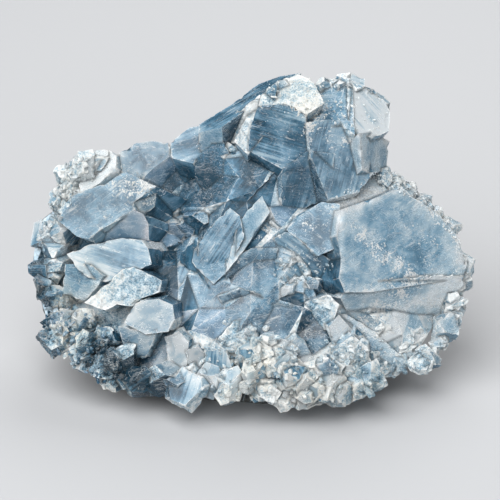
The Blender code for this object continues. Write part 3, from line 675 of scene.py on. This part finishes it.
def crystal_material(name, clear, rough, lines, veils, grain, bump, pitch=0.6, veil_size=5.0, cracks=0.3,
                     scratches=0.0, specks=0.0, speck_size=0.5, gather=0.7, wear_and_highlight=0.4, tint=(1, 1, 1),
                     density=40.0, coat=0.12, shine=0.25, glow=0.2):
    """One finish of the crystal. All its pattern feeds base colour, roughness, coat and bump."""
    material, tree = new_material(name)
    place = in_mm(tree)

    def attribute(label):
        return add_node(tree, "ShaderNodeAttribute", {"attribute_name": label}).outputs["Fac"]

    def shifted(tone, mask, strength):
        return calc(tree, "ADD", tone, calc(tree, "MULTIPLY", calc(tree, "SUBTRACT", mask, 0.5), strength))

    # Tone of the body: inner veils, grain, growth lines, and a glow where the crystal thins to its rim
    inner = use_group(tree, "veils", {"Place": place, "Size": veil_size})
    fine = cloud(tree, place, FINE_GRAIN, 3.0, 0.75)
    tone = shifted(attribute("tone"), inner["Clouds"], veils)
    tone = shifted(tone, fine, grain * 2.2)
    height = calc(tree, "MULTIPLY", fine, 0.35 + grain)
    uv = add_node(tree, "ShaderNodeUVMap", {"uv_map": "growth"}).outputs[0]
    streaks = use_group(tree, "lines", {"Growth": uv, "Pitch": pitch})
    patchy = ramp(tree, cloud(tree, place, 6.5, 2.0), 0.36, 0.62, 0.4 * lines, 1.35 * lines)
    tone = shifted(tone, streaks["Lines"], patchy)
    height = calc(tree, "ADD", height, calc(tree, "MULTIPLY", streaks["Height"], 2.4 * lines))
    tone = calc(tree, "ADD", tone, calc(tree, "MULTIPLY", attribute("cream"), 0.1))
    thin = nearness(tree, attribute("rim"), THIN_RIM)
    tone = calc(tree, "ADD", tone, calc(tree, "MULTIPLY", calc(tree, "POWER", thin, 2.0), glow))
    body = tone_colours(tree, tone, BODY_TONES)
    body = mix(tree, 1.0, body, (*tint, 1), "MULTIPLY")

    # White on the surface: cracks, frosted flecks, fine scratches, and edges that are partly worn white and
    # partly a painted highlight
    nearest = calc(tree, "MINIMUM", attribute("rim"), attribute("seam"))
    margin = calc(tree, "MULTIPLY", nearness(tree, nearest, FROSTED_RIM),
                  ramp(tree, cloud(tree, place, 4.5, 3.0), 0.42, 0.6))
    exposed = calc(tree, "MULTIPLY", attribute("tone"), EXPOSURE, clamp=True)
    margin = calc(tree, "MULTIPLY", margin, exposed)
    frost = calc(tree, "ADD", attribute("frost"), calc(tree, "MULTIPLY", margin, 0.55))
    frost = calc(tree, "ADD", frost, specks)
    flecks = use_group(tree, "specks", {"Place": place, "Frost": frost, "Size": speck_size,
                                        "Gather": gather})
    white = calc(tree, "MAXIMUM", calc(tree, "MULTIPLY", inner["Cracks"], cracks),
                 calc(tree, "MULTIPLY", flecks["Specks"], 0.95))
    if scratches:
        hair = use_group(tree, "lines", {"Growth": uv, "Pitch": HAIR_PITCH, "Length": HAIR_LENGTH})
        hair = ramp(tree, hair["Height"], 0.84, 0.95, 0.0, scratches)
        hair = calc(tree, "MULTIPLY", hair, ramp(tree, cloud(tree, place, 3.0, 3.0, 0.6), 0.46, 0.60))
        white = calc(tree, "MAXIMUM", white, hair)
    # Painted edge highlight together with real white wear along the sharp edges
    worn = use_group(tree, "wear_and_highlight", {"Gap": attribute("rim"), "Place": place, "Width": wear_and_highlight})
    edges = calc(tree, "MULTIPLY", worn["Wear and highlight"], calc(tree, "MULTIPLY", exposed, 0.85))
    white = calc(tree, "MAXIMUM", white, edges)

    # Colour: cream stains, white and painted shade along a seam
    pale = mix(tree, calc(tree, "MULTIPLY", attribute("cream"), 0.9), WHITE, CREAM)
    body = mix(tree, calc(tree, "MULTIPLY", attribute("cream"), 0.45), body, CREAM, "MULTIPLY")
    colour = mix(tree, white, body, pale)
    # Painted shade: darker along the concave seams between crystals
    dark = nearness(tree, attribute("seam"), SEAM_SHADE_REACH)
    colour = mix(tree, calc(tree, "MULTIPLY", dark, 0.6), colour, PAINTED_SEAM_SHADE)
    height = calc(tree, "ADD", height, calc(tree, "MULTIPLY", white, 0.5))
    glossy = calc(tree, "SUBTRACT", 1.0, calc(tree, "MULTIPLY", white, 0.6))
    shader = add_node(tree, "ShaderNodeBsdfPrincipled", None, {
        "Base Color": colour,
        "Roughness": calc(tree, "ADD", rough, calc(tree, "MULTIPLY", white, 0.35)),
        "Metallic": 0.0,
        "IOR": CELESTINE_IOR,
        "Specular IOR Level": shine,
        "Transmission Weight": clear,
        "Coat Weight": calc(tree, "MULTIPLY", glossy, coat),
        "Coat Roughness": 0.05,
        "Coat IOR": 1.6,
        "Normal": bumped(tree, height, bump, CRYSTAL_BUMP),
    })
    soak = add_node(tree, "ShaderNodeVolumeAbsorption", None, {"Color": SOAKED, "Density": density})
    sink = tree.nodes.new("ShaderNodeOutputMaterial")
    tree.links.new(shader.outputs[0], sink.inputs["Surface"])
    tree.links.new(soak.outputs[0], sink.inputs["Volume"])
    return material


def rock_material(name, tones, crust_tones, grain, crust):
    """Rough rind rock: mottled stone with packed grains and patches of pale crust."""
    material, tree = new_material(name)
    place = in_mm(tree)
    grains = use_group(tree, "grain", {"Place": place, "Size": grain})
    dust = use_group(tree, "grain", {"Place": place, "Size": grain * 0.45})
    mottle = cloud(tree, place, 9.0, 5.0, 0.6)
    value = calc(tree, "ADD", calc(tree, "MULTIPLY", mottle, 0.75),
                 calc(tree, "MULTIPLY", calc(tree, "ADD", grains["Grain"], dust["Grain"]), 0.22))
    colour = tone_colours(tree, calc(tree, "SUBTRACT", value, 0.08), tones)
    patch = ramp(tree, cloud(tree, place, 6.0, 5.0, 0.65), 0.56 - crust, 0.66 - crust)
    pale = mix(tree, grains["Grain"], *crust_tones)
    colour = mix(tree, calc(tree, "MULTIPLY", patch, 0.75), colour, pale)
    colour = mix(tree, calc(tree, "MULTIPLY", grains["Gaps"], 0.65), colour, ROCK_GAPS)
    height = calc(tree, "ADD", grains["Height"], calc(tree, "MULTIPLY", dust["Height"], 0.4))
    shader = add_node(tree, "ShaderNodeBsdfPrincipled", None, {
        "Base Color": colour, "Metallic": 0.0, "IOR": ROCK_IOR,
        "Roughness": ramp(tree, dust["Grain"], 0.0, 1.0, 0.55, 0.95),
        "Normal": bumped(tree, height, 0.7, ROCK_BUMP),
    })
    sink = tree.nodes.new("ShaderNodeOutputMaterial")
    tree.links.new(shader.outputs[0], sink.inputs["Surface"])
    return material


def crystal_materials():
    """The finishes in the order of FINISHES."""
    return [
        crystal_material("Smooth celestine", clear=0.55, rough=0.12, lines=0.08, pitch=0.9, veils=0.36,
                         veil_size=3.4, grain=0.08, bump=0.18, cracks=0.6, scratches=0.25, wear_and_highlight=0.24),
        crystal_material("Lined celestine", clear=0.42, rough=0.17, lines=0.32, pitch=0.7, veils=0.24,
                         grain=0.10, bump=0.3, cracks=0.3, scratches=0.5, specks=0.05, wear_and_highlight=0.22,
                         coat=0.05, shine=0.15),
        crystal_material("Hazy celestine", clear=0.42, rough=0.22, lines=0.11, pitch=0.5, veils=0.26,
                         veil_size=4.4, grain=0.12, bump=0.3, cracks=0.4, scratches=0.6, specks=0.14,
                         wear_and_highlight=0.26, coat=0.08, shine=0.18),
        crystal_material("Speckled celestine", clear=0.25, rough=0.34, lines=0.05, veils=0.2, grain=0.42,
                         bump=0.4, specks=0.48, speck_size=0.34, gather=0.2, wear_and_highlight=0.2, coat=0.0,
                         shine=0.09),
        # Dark teal of the hollows and slots: partly the crystal's own colour, partly painted shade
        crystal_material("Deep celestine", clear=0.25, rough=0.2, lines=0.18, veils=0.3, grain=0.10,
                         bump=0.2, cracks=0.14, specks=-0.15, wear_and_highlight=0.14, density=60.0, coat=0.0, shine=0.08,
                         glow=0.1),
        crystal_material("Crushed celestine", clear=0.15, rough=0.4, lines=0.12, pitch=0.5, veils=0.4,
                         veil_size=2.0, grain=0.95, bump=0.8, cracks=0.85, scratches=0.6, specks=0.38,
                         speck_size=0.36, gather=0.3, tint=(1.0, 0.965, 0.93), coat=0.1),
        crystal_material("Grey celestine", clear=0.35, rough=0.22, lines=0.06, veils=0.26, grain=0.12,
                         bump=0.2, cracks=0.35, wear_and_highlight=0.2, tint=(1.0, 0.93, 0.95), coat=0.05, shine=0.15),
    ]


# Small crystals: how many shapes, how far they lean, the share that is sunk, uneven corners
SUGAR_SHAPES = 16
LEAN_SPREAD = 1.1
SUNK = 0.35
UNEVEN = 0.07
# Their gap to a seam in mm, past the reach of its pattern
NO_SEAM = 9.0


def cut_off(shape, point, direction):
    """Cuts a corner off a closed shape along a plane and closes the cut."""
    everything = shape.verts[:] + shape.edges[:] + shape.faces[:]
    made = bmesh.ops.bisect_plane(shape, geom=everything, plane_co=point, plane_no=direction,
                                  clear_outer=True)
    open_edges = [item for item in made["geom_cut"] if isinstance(item, bmesh.types.BMEdge)]
    if open_edges:
        bmesh.ops.holes_fill(shape, edges=open_edges, sides=0)


def sugar_shape(seed):
    """One small blocky crystal with a chisel end, about 1 high above its root."""
    dice = random.Random(seed)
    shape = bmesh.new()
    bmesh.ops.create_cube(shape, size=1)
    wide = 0.7 * dice.uniform(0.6, 1.15)
    deep = wide * dice.uniform(0.4, 0.9)
    bmesh.ops.scale(shape, vec=(wide, deep, 1.9), verts=shape.verts)
    bmesh.ops.translate(shape, vec=(0, 0, 0.05), verts=shape.verts)
    for side in (1, -1):
        slope = dice.uniform(0.5, 1.1)
        cut_off(shape, Vector((0, 0, dice.uniform(0.85, 1.0))),
                Vector((side * slope, dice.uniform(-0.2, 0.2), 0.8)))
        cut_off(shape, Vector((0, side * deep * dice.uniform(0.2, 0.45), 0.8)),
                Vector((dice.uniform(-0.2, 0.2), side, dice.uniform(0.4, 1.0))))
        for over in (1, -1):
            cut_off(shape, Vector((side * wide * dice.uniform(0.3, 0.42), over * deep * 0.42, 0)),
                    Vector((side * dice.uniform(0.6, 1.2), over, 0)))
    for vert in shape.verts:
        vert.co += any_way(dice) * UNEVEN
        vert.co.x += 0.25 * (seed % 5 - 2) / 2 * vert.co.z
    mesh = bpy.data.meshes.new("sugar_shape")
    shape.to_mesh(mesh)
    shape.free()
    return mesh


def inside(outline, across, rise):
    """Whether a place lies inside an outline of the view's plane."""
    found = False
    last = outline[-1]
    for corner in outline:
        if (corner[1] > rise) != (last[1] > rise):
            if across < (last[0] - corner[0]) * (rise - corner[1]) / (last[1] - corner[1]) + corner[0]:
                found = not found
        last = corner
    return found


def spots_in_view(dice, outline, count, tree):
    """Random places in an outline, carried from the eye onto the surface, each with its normal."""
    low_a, high_a = min(c[0] for c in outline), max(c[0] for c in outline)
    low_r, high_r = min(c[1] for c in outline), max(c[1] for c in outline)
    spots = []
    for _ in range(count * 6):
        if len(spots) >= count:
            break
        across, rise = dice.uniform(low_a, high_a), dice.uniform(low_r, high_r)
        if not inside(outline, across, rise):
            continue
        point, normal, index, _ = seen_at(tree, across, rise)
        if index is not None:
            spots.append((point, normal))
    return spots


def grow_crystals(name, spots, dice, sizes, tones, mixture):
    """Plants a small crystal on each spot, each with its own size, lean, turn, tone and finish."""
    mesh = bmesh.new()
    tone_layer = mesh.loops.layers.float.new("tone")
    layers = {label: mesh.verts.layers.float.new(label) for label in ("rim", "seam", "frost", "cream")}
    shapes = [sugar_shape(seed) for seed in range(SUGAR_SHAPES)]
    done_faces = done_verts = 0
    for point, normal in spots:
        size = sizes[0] + (sizes[1] - sizes[0]) * dice.random() ** 2
        axis = (normal + any_way(dice) * LEAN_SPREAD).normalized()
        if axis.dot(normal) < 0.1:
            axis = (axis + normal).normalized()
        turn = axis.to_track_quat("Z", "Y").to_matrix().to_4x4()
        turn = turn @ Matrix.Rotation(dice.uniform(0, 6.28), 4, "Z")
        stretch = Matrix.Diagonal((size * dice.uniform(0.8, 1.3), size * dice.uniform(0.8, 1.3),
                                   size * dice.uniform(0.7, 1.4), 1))
        copy = dice.choice(shapes).copy()
        root = Matrix.Translation(point - normal * size * SUNK * MM)
        copy.transform(root @ turn @ Matrix.Scale(MM, 4) @ stretch)
        mesh.from_mesh(copy)
        bpy.data.meshes.remove(copy)
        mesh.faces.ensure_lookup_table()
        mesh.verts.ensure_lookup_table()
        across, rise, _ = plane_place(point)
        # The shade patches add painted shade and painted light to the tone
        tone = dice.uniform(*tones) + shade_at(across, rise)
        finish = FINISHES.index(dice.choice(mixture))
        values = {"rim": dice.uniform(0.2, 1.2), "seam": NO_SEAM, "frost": frost_at(across, rise),
                  "cream": cream_at(across, rise)}
        for face in mesh.faces[done_faces:]:
            face.material_index = finish
            for loop in face.loops:
                loop[tone_layer] = tone
        for vert in mesh.verts[done_verts:]:
            for label, value in values.items():
                vert[layers[label]] = value
        done_faces, done_verts = len(mesh.faces), len(mesh.verts)
    for shape in shapes:
        bpy.data.meshes.remove(shape)
    return make_piece(name, mesh, finishes)


def build_rind(keep_clear):
    """The rind's piece: the CAD rock with lumps and pits where it shows, and its flat base."""
    rock = load_merged("matrix_rind")
    rock.normal_update()

    def shown(face):
        middle = face.calc_center_median()
        near = keep_clear.find_nearest(middle)
        return near[3] > COVERED_GAP or (middle - near[0]).dot(face.normal) > 0

    layer = rock.faces.layers.int.new("shown")
    for face in rock.faces:
        face[layer] = int(shown(face))
    bmesh.ops.triangulate(rock, faces=rock.faces)
    split_long_edges(rock, lambda face: face[layer] == 1, RIND_EDGE)
    rock.normal_update()
    moves = []
    for vert in rock.verts:
        if any(face[layer] == 0 for face in vert.link_faces) or vert.co.z < FLAT_BASE:
            moves.append(Vector())
            continue
        big = noise.noise(vert.co / (9 * MM)) * 1.3
        pits = 0.9 * (ridged(vert.co, 3.4) - 0.8) + 0.45 * noise.noise(vert.co / (1.6 * MM))
        moves.append(vert.normal * (big + pits - 0.3) * MM)
    for vert, move in zip(rock.verts, moves):
        vert.co += move
        vert.co.z = max(vert.co.z, 0.0)
    for face in rock.faces:
        face.smooth = True
        face.material_index = 1 - face[layer]
    return rock


# Colours by tone of the stone and of the crust at the crystals' roots
ROCK_TONES = ((0.0, (0.018, 0.024, 0.03)), (0.35, (0.06, 0.075, 0.085)), (0.6, (0.13, 0.14, 0.135)),
              (0.8, (0.26, 0.25, 0.22)), (1.0, (0.5, 0.48, 0.42)))
ROOT_TONES = ((0.0, (0.20, 0.30, 0.38)), (0.35, (0.36, 0.48, 0.57)), (0.6, (0.50, 0.62, 0.70)),
              (0.8, (0.62, 0.72, 0.78)), (1.0, (0.74, 0.80, 0.84)))
ROCK_CRUST = ((0.52, 0.49, 0.42, 1), (0.75, 0.74, 0.70, 1))
ROOT_CRUST = ((0.42, 0.56, 0.66, 1), (0.62, 0.73, 0.80, 1))
ROCK_GAPS = (0.02, 0.02, 0.022, 1)

# The two big pieces
rind_tree = BVHTree.FromBMesh(load_merged("matrix_rind"))
mass, facet_tree = build_celestine(rind_tree)
print("celestine triangles", len(mass.faces))
finishes = crystal_materials()
mass_tree = BVHTree.FromBMesh(mass)
celestine = make_piece("celestine_crystals", mass, finishes)
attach(celestine, "root")
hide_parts("celestite_crystals")

rock = build_rind(facet_tree)
print("rind triangles", len(rock.faces))
rind = make_piece("rind", rock, [
    rock_material("Rind rock", ROCK_TONES, ROCK_CRUST, grain=0.8, crust=0.0),
    rock_material("Pale root crust", ROOT_TONES, ROOT_CRUST, grain=1.2, crust=0.2)])
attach(rind, "root")
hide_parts("matrix_rind")

# Beds of sugary crystals: outline in the view, most crystals, sizes in mm, tones, finishes
SUGAR_BEDS = (
    ("lower_front", ((-12, 16), (-4, 22), (6, 18), (12, 12), (20, 16), (30, 20), (44, 19), (50, 17),
                     (46, 10), (36, 6), (24, 1), (8, 0), (-8, 1), (-12, 8)),
     300, (0.9, 3.2), (0.5, 1.0), ("crushed", "crushed", "smooth")),
    ("left_low", ((-50, 30), (-44, 24), (-36, 21), (-34, 10), (-26, 4), (-38, 5), (-48, 12), (-53, 22)),
     210, (0.6, 2.2), (0.3, 0.85), ("crushed", "grey", "grey")),
    ("left_lumps", ((-46, 64), (-41, 63), (-40, 58), (-47, 46), (-54, 36), (-52, 46), (-46, 58)),
     130, (0.9, 2.2), (0.8, 1.0), ("crushed", "smooth")),
    ("right_border", ((34, 58), (46, 52), (53, 42), (56, 34), (53, 36), (50, 42), (44, 48), (36, 54),
                      (30, 56)),
     240, (0.4, 1.0), (0.95, 1.15), ("crushed", "crushed", "hazy")),
    ("crown_crust", ((4, 80), (12, 82), (22, 82), (33, 78), (36, 70), (32, 66), (26, 68), (20, 70),
                     (14, 72), (5, 74)),
     190, (0.35, 1.0), (0.9, 1.1), ("crushed", "crushed")),
    ("right_shoulder", ((20, 48), (22, 52.5), (28, 55.5), (32, 58.5), (39, 56), (44, 50), (38, 52),
                        (30, 52)),
     170, (0.3, 1.0), (0.85, 1.1), ("crushed", "crushed", "hazy")),
    ("shoulder_edge", ((-45, 57), (-34, 61), (-24, 55), (-22, 50), (-26, 50), (-31, 55), (-40, 55)),
     80, (0.3, 0.8), (0.9, 1.1), ("crushed", "hazy")),
    ("middle_cracks", ((5, 37), (9, 40), (21, 34.5), (20, 31), (15, 31), (11, 29), (6, 30)),
     90, (0.4, 1.4), (0.6, 1.0), ("crushed", "smooth", "hazy")),
)
dice = random.Random(11)
for bed, outline, count, sizes, tones, mixture in SUGAR_BEDS:
    spots = spots_in_view(dice, outline, count, mass_tree)
    piece = grow_crystals("sugar_" + bed, spots, dice, sizes, tones, mixture)
    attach(piece, "root")
    print(bed, len(piece.data.polygons))


# Stage, lights and camera
def area_light(name, place, aim, size, power):
    """A plain rectangular soft light that faces a point."""
    lamp = bpy.data.lights.new(name, "AREA")
    lamp.shape = "RECTANGLE"
    lamp.size, lamp.size_y = size
    lamp.energy = power
    holder = bpy.data.objects.new(name, lamp)
    holder.location = place
    holder.rotation_euler = (Vector(aim) - Vector(place)).to_track_quat("-Z", "Y").to_euler()
    bpy.context.scene.collection.objects.link(holder)


FLOOR_REACH = 3
FLOOR_COLOUR = (0.42, 0.425, 0.435, 1)
SKY_COLOUR = (0.80, 0.86, 0.92, 1)
SKY_STRENGTH = 0.14

floor_mesh = bmesh.new()
bmesh.ops.create_grid(floor_mesh, x_segments=1, y_segments=1, size=FLOOR_REACH)
floor_material = bpy.data.materials.new("Pale floor")
floor_material.use_nodes = True
floor_shader = floor_material.node_tree.nodes["Principled BSDF"]
floor_shader.inputs["Base Color"].default_value = FLOOR_COLOUR
floor_shader.inputs["Roughness"].default_value = 0.7
floor = make_piece("floor", floor_mesh, [floor_material])

area_light("key", (-0.42, -0.38, 0.95), (0, 0, 0.03), (1.5, 1.5), 26.0)
area_light("front_panel", (0.35, -1.1, 0.38), (0, 0, 0.04), (1.0, 0.6), 5.5)
area_light("back", (0.15, 0.55, 0.55), (0, 0, 0.05), (0.5, 0.3), 3.0)
world = bpy.data.worlds.new("studio")
world.use_nodes = True
sky = world.node_tree.nodes["Background"]
sky.inputs["Color"].default_value = SKY_COLOUR
sky.inputs["Strength"].default_value = SKY_STRENGTH
bpy.context.scene.world = world

lens = bpy.data.cameras.new("camera")
lens.lens = LENS
lens.sensor_width = SENSOR
lens.clip_start = 0.01
camera = bpy.data.objects.new("camera", lens)
camera.location = EYE
camera.rotation_euler = INWARD.to_track_quat("-Z", "Y").to_euler()
bpy.context.scene.collection.objects.link(camera)
bpy.context.scene.camera = camera
bpy.context.scene.view_settings.view_transform = "Standard"
bpy.context.scene.view_settings.look = "None"
